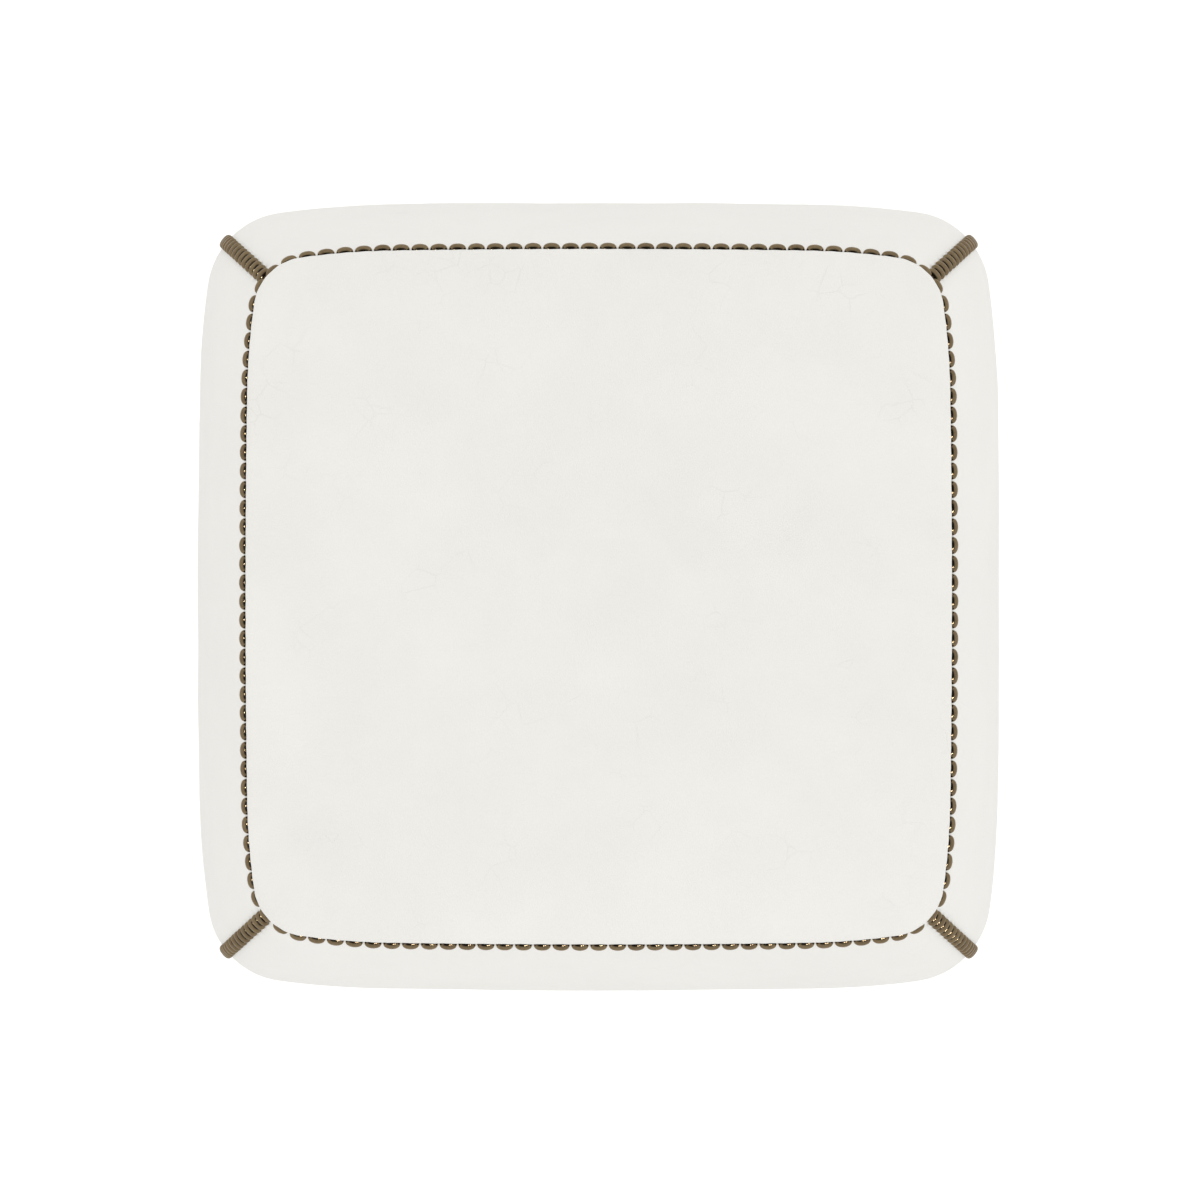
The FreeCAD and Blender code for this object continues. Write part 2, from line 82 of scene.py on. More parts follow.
def mix(low, high, share):
    """What lies this share of the way from low to high."""
    return low + (high - low) * share


def facing(angle):
    """The direction in the plan that an angle faces."""
    return np.stack([np.cos(angle), np.sin(angle)], axis=-1)


def edge_depth(z):
    """How far a height is from the nearer edge of the wall."""
    return np.clip(np.minimum(TOP_EDGE - z, z - BOTTOM_EDGE), 0, None)


def wall_share(z):
    """How far out the wall stands at a height: 0 at both edges and 1 halfway up."""
    reach = edge_depth(z) / HALF_HEIGHT
    return STEEPNESS * reach - (STEEPNESS - 1) * reach ** (STEEPNESS / (STEEPNESS - 1))


def wall_plan(z):
    """The cover's plan at a height."""
    return mix(TOP_PLAN, BELLY_PLAN, float(wall_share(z)))


def quarter_arcs(plan):
    """Centres and radii of the side, shoulder and corner arcs for the +X and +Y sides."""
    half_x, half_y, corner_radius, shoulder_radius = plan
    sine = math.sin(SIDE_TURN)
    versine = 1 - math.cos(SIDE_TURN)
    rest = (shoulder_radius - corner_radius) * (math.cos(TURNED) - math.sin(TURNED))
    rest += shoulder_radius * (math.sin(SIDE_TURN) - math.cos(SIDE_TURN))
    scale = sine ** 2 - versine ** 2
    radius_x = (sine * (half_y + rest) - versine * (half_x + rest)) / scale
    radius_y = (sine * (half_x + rest) - versine * (half_y + rest)) / scale
    centre_x = np.array([half_x - radius_x, 0.0])
    shoulder_x = centre_x + facing(SIDE_TURN) * (radius_x - shoulder_radius)
    corner = shoulder_x + facing(TURNED) * (shoulder_radius - corner_radius)
    shoulder_y = corner - facing(QUARTER - TURNED) * (shoulder_radius - corner_radius)
    centre_y = np.array([0.0, half_y - radius_y])
    return (
        ((centre_x, radius_x), (shoulder_x, shoulder_radius), (corner, corner_radius)),
        ((centre_y, radius_y), (shoulder_y, shoulder_radius), (corner, corner_radius)),
    )


def octant_stations():
    """Normal angles from the middle of a side to the middle of a corner, evenly spaced."""
    (_, side), (_, shoulder), (_, corner) = quarter_arcs(SEAT_PLAN)[0]
    corner_turn = QUARTER / 2 - SIDE_TURN - SHOULDER_TURN
    lengths = [side * SIDE_TURN, shoulder * SHOULDER_TURN, corner * corner_turn]
    marks = np.concatenate([[0], np.cumsum(lengths)]) / sum(lengths)
    angles = [0, SIDE_TURN, TURNED, QUARTER / 2]
    return np.interp(np.linspace(0, 1, OCTANT_CELLS + 1), marks, angles)


def ring_angles():
    """Normal angles of all stations round the outline, from the middle of +X."""
    octant = octant_stations()
    angles = []
    for quarter in range(4):
        angles += [quarter * QUARTER + octant[:-1], (quarter + 1) * QUARTER - octant[:0:-1]]
    return np.concatenate(angles)


RING = ring_angles()
ANGLE_SLACK = 1e-9


def outline(angles, plan, inset=0.0):
    """Points of a plan's outline facing these angles, moved in by the inset."""
    x_arcs, y_arcs = quarter_arcs(plan)
    turn = np.mod(angles, FULL_TURN)
    turns = np.floor(turn / QUARTER + ANGLE_SLACK).astype(int)
    local = turn - turns * QUARTER
    quarter = turns % 4
    folded = np.where(quarter % 2 == 1, QUARTER - local, local)
    zones = np.select(
        [folded <= SIDE_TURN, folded <= TURNED, folded <= QUARTER - TURNED,
         folded <= QUARTER - SIDE_TURN],
        [0, 1, 2, 3], 4)
    points = np.zeros(np.shape(angles) + (2,))
    arcs = [x_arcs[0], x_arcs[1], x_arcs[2], y_arcs[1], y_arcs[0]]
    for zone, (centre, radius) in enumerate(arcs):
        here = zones == zone
        points[here] = centre + facing(folded[here]) * (radius - inset)
    x_sign = np.where((quarter == 1) | (quarter == 2), -1, 1)
    y_sign = np.where(quarter >= 2, -1, 1)
    return points * np.stack([x_sign, y_sign], axis=-1)


def at_height(points, z):
    """Points of the plan lifted to a height."""
    return np.concatenate([points, np.full(points.shape[:-1] + (1,), float(z))], axis=-1)


def seam_angle(corner):
    """Normal angle at which a corner's seam runs down."""
    return corner * QUARTER + (QUARTER - SEAM_TURN if corner % 2 else SEAM_TURN)


FINE_STATIONS = 8001


def along_side(side, z):
    """Fine normal angles from one seam to the next, with the length travelled."""
    angles = np.linspace(seam_angle(side - 1), seam_angle(side), FINE_STATIONS)
    steps = np.linalg.norm(np.diff(outline(angles, wall_plan(z)), axis=0), axis=1)
    return angles, np.concatenate([[0], np.cumsum(steps)])


# Meshes from grids of points


def new_mesh(name, vertices, faces, smooth=True):
    """A mesh object in the scene."""
    data = bpy.data.meshes.new(name)
    data.from_pydata([tuple(v) for v in vertices], [], faces)
    data.validate()
    piece = bpy.data.objects.new(name, data)
    bpy.context.scene.collection.objects.link(piece)
    data.polygons.foreach_set("use_smooth", [smooth] * len(data.polygons))
    data.update()
    return piece


def grid_faces(rows, columns, start=0, closed=False, flip=False):
    """Faces of a grid of points stored row by row, closed round or open at its sides."""
    faces = []
    last = columns if closed else columns - 1
    for row in range(rows - 1):
        for column in range(last):
            a = start + row * columns + column
            b = start + row * columns + (column + 1) % columns
            face = (a, b, b + columns, a + columns)
            faces.append(face[::-1] if flip else face)
    return faces


def ring_steps(count):
    """Each place on a closed ring with the place after it."""
    return [(step, (step + 1) % count) for step in range(count)]


def sheet_between(name, outer, inner):
    """A closed thin solid between two like grids of points, outer facing out."""
    rows, columns = outer.shape[:2]
    count = rows * columns
    vertices = np.concatenate([outer.reshape(-1, 3), inner.reshape(-1, 3)])
    faces = grid_faces(rows, columns, flip=True)
    faces += grid_faces(rows, columns, start=count)
    border = list(range(columns))
    border += [row * columns + columns - 1 for row in range(1, rows)]
    border += [(rows - 1) * columns + column for column in range(columns - 2, -1, -1)]
    border += [row * columns for row in range(rows - 2, 0, -1)]
    for a, b in zip(border, border[1:] + border[:1]):
        faces.append((a, b, b + count, a + count))
    return new_mesh(name, vertices, faces)


NO_LENGTH = 1e-12


def grid_normals(points, closed=False):
    """Outward directions of a grid of points whose rows run round and go down."""
    if closed:
        padded = np.concatenate([points[:, -1:], points, points[:, :1]], axis=1)
        across = padded[:, 2:] - padded[:, :-2]
    else:
        across = np.gradient(points, axis=1)
    down = np.gradient(points, axis=0)
    normals = np.cross(down, across)
    return normals / (np.linalg.norm(normals, axis=-1, keepdims=True) + NO_LENGTH)


# Smooth noise that is the same on each run


CELL_FACTORS = (73856093, 19349663, 83492791)
SEED_FACTOR = 1013904223
SCRAMBLE_FACTOR = 1274126177
FIRST_SHIFT = 13
SECOND_SHIFT = 16
KEPT_BITS = 0x7FFFFFFF
RESULT_BITS = 0xFFFF


def hashed(cells, seed):
    """Pseudo-random numbers from 0 to 1 for integer cells of shape (..., 3)."""
    mixed = cells[..., 0] * CELL_FACTORS[0]
    mixed = mixed ^ cells[..., 1] * CELL_FACTORS[1]
    mixed = mixed ^ cells[..., 2] * CELL_FACTORS[2]
    mixed = (mixed + seed * SEED_FACTOR) & KEPT_BITS
    mixed = (mixed ^ (mixed >> FIRST_SHIFT)) * SCRAMBLE_FACTOR & KEPT_BITS
    return ((mixed ^ (mixed >> SECOND_SHIFT)) & RESULT_BITS) / float(RESULT_BITS)


def noise(points, size, seed):
    """Smooth noise from -1 to 1 with lumps of about this size."""
    place = points / size
    cell = np.floor(place).astype(np.int64)
    part = place - cell
    part = part * part * (3 - 2 * part)
    total = np.zeros(points.shape[:-1])
    for corner in range(8):
        step = np.array([corner & 1, corner >> 1 & 1, corner >> 2 & 1])
        weight = np.prod(np.where(step, part, 1 - part), axis=-1)
        total += weight * hashed(cell + step, seed)
    return total * 2 - 1


# Nails


NAIL_PITCH = 0.012
NAIL_RADIUS = 0.00555
NAIL_HEIGHT = 0.0036
NAIL_ROW = TOP_EDGE - 0.0105
BACK_COLUMN_GAP = 0.0096
COLUMN_END = BOTTOM_EDGE + 0.006
SLOPE_STEP = 0.0005
COLUMN_STEP = 0.00025

# A head's shape as (share of its radius, share of its height) from the rim up to the top.
HEAD_PROFILE = (
    (0.94, -0.02), (1.0, 0.02), (1.0, 0.12), (0.985, 0.27), (0.95, 0.42), (0.89, 0.575),
    (0.79, 0.72), (0.65, 0.84), (0.47, 0.93), (0.25, 0.982),
)
HEAD_SIDES = 28
HEAD_TILT = 0.012
HEAD_SIZES = (0.985, 1.01)
HEAD_DENT = 0.006
DENT_SHARE = 0.8
HEAD_LOBES = 3
HEAD_LOBE_DEPTH = 0.006
HEAD_UNDERSIDE = 0.0002
ANY_WAY = (0.31, 0.52, 0.79)
ROW_SEED = 7
COLUMN_SEED = 20


def wall_normal(angle, z):
    """Outward direction of the cover where it faces an angle at a height."""
    below, above = (
        float(outline(np.array([angle]), wall_plan(height))[0] @ facing(angle))
        for height in (z - SLOPE_STEP, z + SLOPE_STEP))
    normal = np.array([math.cos(angle), math.sin(angle), (below - above) / (2 * SLOPE_STEP)])
    return normal / np.linalg.norm(normal)


def row_angles(side):
    """Normal angles of one side's nails: one on a front seam, half a gap at a back seam."""
    angles, travelled = along_side(side, NAIL_ROW)
    at_back = [CORNERS[corner].startswith("back") for corner in (side - 1, side)]
    half_gaps = sum(at_back) / 2
    count = round(travelled[-1] / NAIL_PITCH - half_gaps) + half_gaps
    first = 0.5 if at_back[0] else 0.0
    wanted = (first + np.arange(math.ceil(count - first))) * travelled[-1] / count
    return np.interp(wanted, travelled, angles)


def row_nails():
    """Places, directions and angles of the nails in the row under the seat."""
    angles = np.concatenate([row_angles(side) for side in range(4)])
    places = at_height(outline(angles, wall_plan(NAIL_ROW)), NAIL_ROW)
    return places, np.array([wall_normal(angle, NAIL_ROW) for angle in angles]), angles


def column_nails(corner):
    """Places and directions of the nails down one corner's seam, below the row."""
    angle = seam_angle(corner)
    heights = np.arange(NAIL_ROW, COLUMN_END, -COLUMN_STEP)
    points = np.array([
        at_height(outline(np.array([angle]), wall_plan(z)), z)[0] for z in heights])
    steps = np.linalg.norm(np.diff(points, axis=0), axis=1)
    travelled = np.concatenate([[0], np.cumsum(steps)])
    first = BACK_COLUMN_GAP if CORNERS[corner].startswith("back") else NAIL_PITCH
    wanted = np.arange(first, travelled[-1], NAIL_PITCH)
    places = np.stack([np.interp(wanted, travelled, points[:, axis]) for axis in range(3)], axis=-1)
    return places, np.array([wall_normal(angle, place[2]) for place in places])


def head_points(random, place, normal):
    """Points of one head, a little tilted, turned and dented: its rings, its top, its underside."""
    tilted = normal + random.normal(0, HEAD_TILT, 3)
    up = tilted / np.linalg.norm(tilted)
    side = np.cross(up, ANY_WAY)
    side /= np.linalg.norm(side)
    other = np.cross(up, side)
    spin = random.uniform(0, FULL_TURN)
    size = NAIL_RADIUS * random.uniform(*HEAD_SIZES)
    dent = random.normal(0, HEAD_DENT, (len(HEAD_PROFILE), HEAD_SIDES))
    dent = (dent + np.roll(dent, 1, axis=1) + np.roll(dent, 2, axis=1)) / 3
    around = np.linspace(0, FULL_TURN, HEAD_SIDES, endpoint=False)
    angle = around + spin
    points = []
    for ring, (reach, rise) in enumerate(HEAD_PROFILE):
        radius = size * reach * (1 + HEAD_LOBE_DEPTH * np.sin(HEAD_LOBES * around + spin))
        offset = np.outer(np.cos(angle) * radius, side) + np.outer(np.sin(angle) * radius, other)
        lift = NAIL_HEIGHT * (rise + dent[ring] * rise * DENT_SHARE)
        points += list(place + offset + np.outer(lift, up))
    return points + [place + up * NAIL_HEIGHT, place - up * HEAD_UNDERSIDE]


def head_faces(start):
    """Faces of one closed head whose points begin at this index."""
    rings = len(HEAD_PROFILE)
    last_ring = start + (rings - 1) * HEAD_SIDES
    top = start + rings * HEAD_SIDES
    underside = top + 1
    faces = grid_faces(rings, HEAD_SIDES, start, closed=True)
    for step, following in ring_steps(HEAD_SIDES):
        faces.append((last_ring + step, last_ring + following, top))
        faces.append((start + following, start + step, underside))
    return faces


def nail_cluster(name, places, normals, seed):
    """One mesh of domed nail heads, each with a tone of its own."""
    random = np.random.default_rng(seed)
    vertices = []
    faces = []
    tones = []
    for place, normal in zip(places, normals):
        faces += head_faces(len(vertices))
        points = head_points(random, place, normal)
        vertices += points
        tones += [random.uniform(0, 1)] * len(points)
    piece = new_mesh(name, vertices, faces)
    attribute = piece.data.attributes.new("tone", "FLOAT", "POINT")
    attribute.data.foreach_set("value", tones)
    return piece


ROW_PLACES, ROW_NORMALS, ROW_ANGLES = row_nails()
COLUMNS = [column_nails(corner) for corner in range(4)]


# Leather cover


# Waves that the nails pull into the leather, fading out downwards.
PUCKER = 0.00045
PUCKER_FADE = 0.011
PUCKER_MEAN = 0.6
PUCKER_CHANGE = 0.4
PUCKER_LUMPS = 0.03
PUCKER_SEED = 11

# The hollow round each nail.
PINCH = 0.0009
PINCH_RADIUS = 0.009

# Broad and small unevenness of the sides, which dies away at the seams and the edges.
SWELL = 0.0006
SWELL_LUMPS = 0.12
SWELL_SEED = 3
RIPPLE = 0.00035
RIPPLE_LUMPS = 0.035
RIPPLE_SEED = 21
QUIET_AT_SEAM = 0.05
QUIET_AT_EDGE = 0.06

# The lower edge, bent round the base and stapled along its underside.
BEND = 0.0035
BEND_DEGREES = (30, 60, 90)
UNDER_TURN = 0.025
UNDER_SHARES = (0.4, 0.7, 1.0)
GATHER = 0.0004
GATHERS = 90

WALL_FOOT_GAP = 0.0005
ROWS_TO_EDGES = 0.65


def nearest(points, places, radius):
    """How close each point is to the nearest nail: 1 at a nail and 0 a radius away."""
    best = np.full(points.shape[:-1], radius)
    flat = points.reshape(-1, 3)
    distance = best.reshape(-1)
    for place in places:
        near = np.all(np.abs(flat - place) < radius, axis=1)
        if near.any():
            gap = np.linalg.norm(flat[near] - place, axis=1)
            distance[near] = np.minimum(distance[near], gap)
    return 1 - distance.reshape(best.shape) / radius


def wall_heights():
    """Heights of the wall's rows, closer together near both edges."""
    even = np.linspace(-1, 1, WALL_ROWS)
    spread = np.sin(even * QUARTER) * ROWS_TO_EDGES + even * (1 - ROWS_TO_EDGES)
    low = BOTTOM_EDGE + WALL_FOOT_GAP
    return low + (JOINT - low) * (1 - spread) / 2


def side_angles(side):
    """Normal angles across one side, evenly spaced from one seam to the next."""
    angles, travelled = along_side(side, MIDDLE)
    wanted = np.linspace(0, travelled[-1], 2 * OCTANT_CELLS + 1)
    return np.interp(wanted, travelled, angles), wanted


def along_row(angles):
    """Phase along the nail row, a whole number of turns at each nail."""
    turns = np.sort(np.mod(ROW_ANGLES, FULL_TURN))
    known = np.concatenate([turns - FULL_TURN, turns, turns + FULL_TURN])
    return np.interp(np.mod(angles, FULL_TURN), known, np.arange(len(known)))


def nail_waves(angles):
    """Waves along the nail row, 1 at each nail and -1 between two, as one row of a grid."""
    return np.cos(FULL_TURN * along_row(angles)[None, :])


def side_lift(side, points, heights, angles, travelled):
    """How far each point of a side's leather stands out of the plain wall."""
    below_row = np.clip(NAIL_ROW - heights, 0, None)[:, None]
    strength = PUCKER_MEAN + PUCKER_CHANGE * noise(points, PUCKER_LUMPS, PUCKER_SEED)
    lift = -PUCKER * nail_waves(angles) * np.exp(-below_row / PUCKER_FADE) * strength
    columns = COLUMNS[side][0], COLUMNS[(side - 1) % 4][0]
    pinch = nearest(points, np.concatenate([ROW_PLACES, *columns]), PINCH_RADIUS)
    lift -= PINCH * pinch ** 2 * (3 - 2 * pinch)
    seam = np.minimum(travelled, travelled[-1] - travelled)[None, :]
    edge = edge_depth(heights)[:, None]
    quiet = np.clip(seam / QUIET_AT_SEAM, 0, 1) * np.clip(edge / QUIET_AT_EDGE, 0, 1)
    lift += SWELL * noise(points, SWELL_LUMPS, SWELL_SEED + side) * quiet
    lift += RIPPLE * noise(points, RIPPLE_LUMPS, RIPPLE_SEED + side) * quiet
    return lift


def bent_edge(angles):
    """Rows of the leather's outer and inner face as it bends round the base's lower edge."""
    outer = []
    inner = []
    inner_bend = BEND - LEATHER
    for degrees in BEND_DEGREES:
        turn = math.radians(degrees)
        z = BOTTOM_EDGE + BEND - BEND * math.sin(turn)
        outer.append(at_height(outline(angles, TOP_PLAN, BEND * (1 - math.cos(turn))), z))
        inset = BEND - inner_bend * math.cos(turn)
        z = BOTTOM_EDGE + BEND - inner_bend * math.sin(turn)
        inner.append(at_height(outline(angles, TOP_PLAN, inset), z))
    return outer, inner


def flat_edge(angles):
    """Rows of the leather's outer and inner face as it runs in under the base, gathered."""
    outer = []
    inner = []
    for share in UNDER_SHARES:
        flat = outline(angles, TOP_PLAN, BEND + (UNDER_TURN - BEND) * share)
        gathered = at_height(flat, BOTTOM_EDGE)
        gathered[:, 2] -= np.abs(GATHER * np.sin(angles * GATHERS) * share)
        outer.append(gathered)
        inner.append(at_height(flat, BOTTOM_EDGE + LEATHER))
    return outer, inner


def side_leather(side):
    """One side of the cover: swelled over its foam, pinched at each nail, turned under."""
    heights = wall_heights()
    angles, travelled = side_angles(side)
    points = np.array([at_height(outline(angles, wall_plan(z)), z) for z in heights])
    normals = grid_normals(points)
    lift = side_lift(side, points, heights, angles, travelled)[..., None]
    outer = points + normals * lift
    inner = points - normals * LEATHER + normals * np.minimum(lift, 0)
    bent_outer, bent_inner = bent_edge(angles)
    flat_outer, flat_inner = flat_edge(angles)
    wall = outer[:, 0, 2] > BOTTOM_EDGE + BEND
    outer = np.concatenate([outer[wall], np.array(bent_outer + flat_outer)])
    inner = np.concatenate([inner[wall], np.array(bent_inner + flat_inner)])
    return sheet_between("Side_leather_" + SIDES[side], outer, inner)


# Seat


SEAT_ROLL_STEPS = 9
SEAT_ROLL_DEGREES = (-45, 60)
RIM_BLEND = 14

# The nails' waves in the seat's roll, and the unevenness of its top away from the rim.
SEAT_PUCKER = 0.00018
SEAT_PUCKER_FADE = 0.7
SEAT_SWELL = 0.0006
SEAT_SWELL_LUMPS = 0.11
SEAT_SWELL_SEED = 41
SEAT_RIPPLE = 0.0002
SEAT_RIPPLE_LUMPS = 0.04
SEAT_RIPPLE_SEED = 42
QUIET_AT_RIM = 0.08

# Each crease as (x, y, half length, direction in degrees).
CREASES = (
    (-0.060, 0.100, 0.020, 12), (0.000, 0.126, 0.018, 70), (0.170, 0.124, 0.024, 150),
    (-0.005, -0.104, 0.022, 35), (0.142, -0.104, 0.028, 110), (-0.140, -0.040, 0.018, 85),
    (0.075, 0.020, 0.016, 20), (-0.100, 0.020, 0.014, 130), (0.050, -0.060, 0.018, 60),
)
CREASE_DEPTH = 0.00022
CREASE_WIDTH = 0.0026
CREASE_CURVE = 0.25
CREASE_LIPS = 0.5


def seat_profile(depth):
    """The seat's roll as (height, inset) pairs, from above its foot to where the crown starts."""
    radius = EDGE_ROLL - depth
    turns = np.radians(np.linspace(*SEAT_ROLL_DEGREES, SEAT_ROLL_STEPS))
    return [(TOP_EDGE + radius * math.sin(turn), EDGE_ROLL - radius * math.cos(turn))
            for turn in turns]


def seat_rows(depth):
    """The seat's roll as rings of points, from its foot up."""
    rows = [at_height(outline(RING, wall_plan(JOINT), depth), JOINT)]
    rows += [at_height(outline(RING, SEAT_PLAN, inset), z) for z, inset in seat_profile(depth)]
    return np.array(rows)


def crown_height(scale, depth):
    """Height of the crown at this share of the way out to its rim."""
    return TOTAL_HEIGHT - depth - CROWN_RISE * scale ** CROWN_FALL


def ring_index(i, j):
    """Which square ring a cell is on and its place there, counted from the middle of +X."""
    ring = max(abs(i), abs(j))
    if ring == 0:
        return 0, 0
    if i == ring and 0 <= j < ring:
        return ring, j
    if j == ring and i > -ring:
        return ring, 2 * ring - i
    if i == -ring and j > -ring:
        return ring, 4 * ring - j
    if j == -ring and i < ring:
        return ring, 6 * ring + i
    return ring, 8 * ring + j


def square_rings():
    """The ring and the place on it of every cell of the crown's square grid."""
    size = 2 * OCTANT_CELLS + 1
    ring = np.zeros((size, size))
    place = np.zeros((size, size))
    for row in range(size):
        for column in range(size):
            cell = ring_index(column - OCTANT_CELLS, row - OCTANT_CELLS)
            ring[row, column], place[row, column] = cell
    return ring, place


def crown_grid(depth):
    """A square grid of points over the crown, its border matching the roll's last ring."""
    last_z, last_inset = seat_profile(depth)[-1]
    rim = outline(RING, SEAT_PLAN, last_inset)
    count = len(RING)
    ring, place = square_rings()
    scale = ring / OCTANT_CELLS
    station = np.where(ring > 0, place / np.maximum(ring, 1) * OCTANT_CELLS, 0) % count
    low = np.floor(station).astype(int)
    part = (station - low)[..., None]
    flat = rim[low % count] * (1 - part) + rim[(low + 1) % count] * part
    flat = flat * scale[..., None]
    rim_gap = last_z - crown_height(1.0, depth)
    height = crown_height(scale, depth) + rim_gap * scale ** RIM_BLEND
    return np.concatenate([flat, height[..., None]], axis=-1), scale


def grid_border():
    """Indices of the crown grid's border, in the outline's order."""
    ring, place = square_rings()
    on_border = np.flatnonzero(ring.reshape(-1) == OCTANT_CELLS)
    order = np.argsort(place.reshape(-1)[on_border])
    return [int(index) for index in on_border[order]]


def layer_faces(rows, start, flip):
    """Faces of one face of a seat layer: its roll, its crown and the strip that joins them."""
    columns = len(RING)
    size = 2 * OCTANT_CELLS + 1
    top = start + rows * columns
    last = top - columns
    border = grid_border()
    faces = grid_faces(rows, columns, start, closed=True, flip=flip)
    faces += grid_faces(size, size, top, flip=flip)
    for step, following in ring_steps(columns):
        face = (last + step, last + following, top + border[following], top + border[step])
        faces.append(face[::-1] if flip else face)
    return faces


def seat_shell(name, outer_depth, inner_depth, shape=None):
    """A closed layer of the seat between two depths, with its foot on the deck's edge."""
    vertices = []
    faces = []
    feet = []
    for depth, flip in ((outer_depth, False), (inner_depth, True)):
        roll = seat_rows(depth)
        crown, scale = crown_grid(depth)
        if shape is not None and not flip:
            roll, crown = shape(roll, crown, scale)
        feet.append(len(vertices))
        faces += layer_faces(len(roll) - 1, len(vertices), flip)
        vertices += list(roll[:-1].reshape(-1, 3)) + list(crown.reshape(-1, 3))
    for step, following in ring_steps(len(RING)):
        faces.append((feet[1] + step, feet[1] + following, feet[0] + following, feet[0] + step))
    return new_mesh(name, vertices, faces)


def crease_lift(points):
    """Shallow short creases in the seat's leather, each a little bent and lipped."""
    lift = np.zeros(points.shape[:-1])
    for x, y, length, degrees in CREASES:
        way = np.array([math.cos(math.radians(degrees)), math.sin(math.radians(degrees))])
        gap = points[..., :2] - np.array([x, y])
        along = gap @ way
        across = gap @ np.array([-way[1], way[0]]) - CREASE_CURVE * along ** 2 / length
        lip = (np.abs(across) - 2 * CREASE_WIDTH) / CREASE_WIDTH
        lift -= CREASE_DEPTH * np.exp(-(across / CREASE_WIDTH) ** 2 - (along / length) ** 2)
        lift += CREASE_LIPS * CREASE_DEPTH * np.exp(-lip ** 2 - (along / length) ** 2)
    return lift


def shaped_seat(roll, crown, scale):
    """The seat's leather, puckered at its roll by the nails and softly uneven on top."""
    steps = np.linspace(1, 0, len(roll))[:, None] ** SEAT_PUCKER_FADE
    lift = -SEAT_PUCKER * nail_waves(RING) * steps
    lift[-1] = 0
    roll = roll - grid_normals(roll, closed=True) * lift[..., None]
    quiet = np.clip((1 - scale) / QUIET_AT_RIM, 0, 1)
    swell = SEAT_SWELL * noise(crown, SEAT_SWELL_LUMPS, SEAT_SWELL_SEED)
    ripple = SEAT_RIPPLE * noise(crown, SEAT_RIPPLE_LUMPS, SEAT_RIPPLE_SEED)
    crown = crown.copy()
    crown[..., 2] += quiet * (swell + ripple)
    crown[..., 2] += quiet * crease_lift(crown)
    return roll, crown


# Padding under the cover


FOAM_GRID = (41, 49)
PAD_KEPT = 0.94
PAD_FOOT_INSET = 0.004
PAD_FOOT_GAP = 0.0002
WADDING_KEPT = 0.55


def foam_panel(side):
    """The soft pad of one side, between its board and the leather."""
    rows, columns = FOAM_GRID
    low = JOINT - DECK - LAYER_GAP
    high = BOTTOM_EDGE + LEATHER + DECK + LAYER_GAP
    angles = side * QUARTER + np.linspace(-TURNED, TURNED, columns)
    layers = []
    for depth in (LEATHER + LAYER_GAP, LEATHER + SIDE_FOAM):
        layers.append(np.array([
            at_height(outline(angles, wall_plan(z), depth), z) for z in np.linspace(low, high, rows)]))
    return sheet_between("Side_foam_" + SIDES[side], *layers)


def seat_pad():
    """The seat foam as a closed cushion on the deck."""
    size = 2 * OCTANT_CELLS + 1
    depth = LEATHER + WADDING
    crown, scale = crown_grid(depth)
    crown[..., :2] *= PAD_KEPT
    crown[..., 2] = crown_height(scale * PAD_KEPT, depth + LAYER_GAP)
    foot = at_height(outline(RING, wall_plan(JOINT), LEATHER + PAD_FOOT_INSET), JOINT + PAD_FOOT_GAP)
    border = grid_border()
    start = size * size
    count = len(RING)
    faces = grid_faces(size, size)
    for step, following in ring_steps(count):
        faces.append((start + step, start + following, border[following], border[step]))
    faces.append(tuple(start + step for step in reversed(range(count))))
    return new_mesh("Seat_foam_pad", list(crown.reshape(-1, 3)) + list(foot), faces)


# Dust cover


DUST_COVER_INSET = 0.014
DUST_COVER_CELLS = 26
DUST_COVER_RINGS = 40
DUST_COVER_MIDDLE = 0.04
DUST_COVER_KEPT = 0.9
SAG = 0.0006
SAG_FALL = 4
SAG_LUMPS = 0.05
SAG_SEED = 5


def dust_rings():
    """The dust cover's underside as rings from its rim in to its middle, sagging a little."""
    rim = outline(RING[::OCTANT_CELLS // DUST_COVER_CELLS], TOP_PLAN, DUST_COVER_INSET)
    rings = []
    for scale in np.linspace(1, DUST_COVER_MIDDLE, DUST_COVER_RINGS):
        points = rim * scale
        uneven = 1 + noise(at_height(points, 0), SAG_LUMPS, SAG_SEED)
        sag = SAG * (1 - scale ** SAG_FALL) * uneven / 2
        height = (BOTTOM_EDGE - DUST_COVER - sag)[:, None]
        rings.append(np.concatenate([points, height], axis=-1))
    return np.array(rings)


def dust_sheet():
    """The dust cover as a thin closed cloth, with its flat width and length."""
    lower = dust_rings()
    upper = lower.copy()
    upper[..., 2] = lower[..., 2] + DUST_COVER * DUST_COVER_KEPT
    rings, columns = lower.shape[:2]
    count = rings * columns
    last = count - columns
    faces = grid_faces(rings, columns, 0, closed=True, flip=True)
    faces += grid_faces(rings, columns, count, closed=True)
    for step, following in ring_steps(columns):
        faces.append((step, following, count + following, count + step))
    faces.append(tuple(last + step for step in reversed(range(columns))))
    faces.append(tuple(count + last + step for step in range(columns)))
    width, length = 2 * (TOP_PLAN[:2] - DUST_COVER_INSET)
    vertices = list(lower.reshape(-1, 3)) + list(upper.reshape(-1, 3))
    return new_mesh("Dust_cover_cloth", vertices, faces), float(width), float(length)


# Materials


# Where a colour mix node has its factor, its two colours and its result.
MIX_INPUTS = (0, 6, 7)
MIX_RESULT = 2


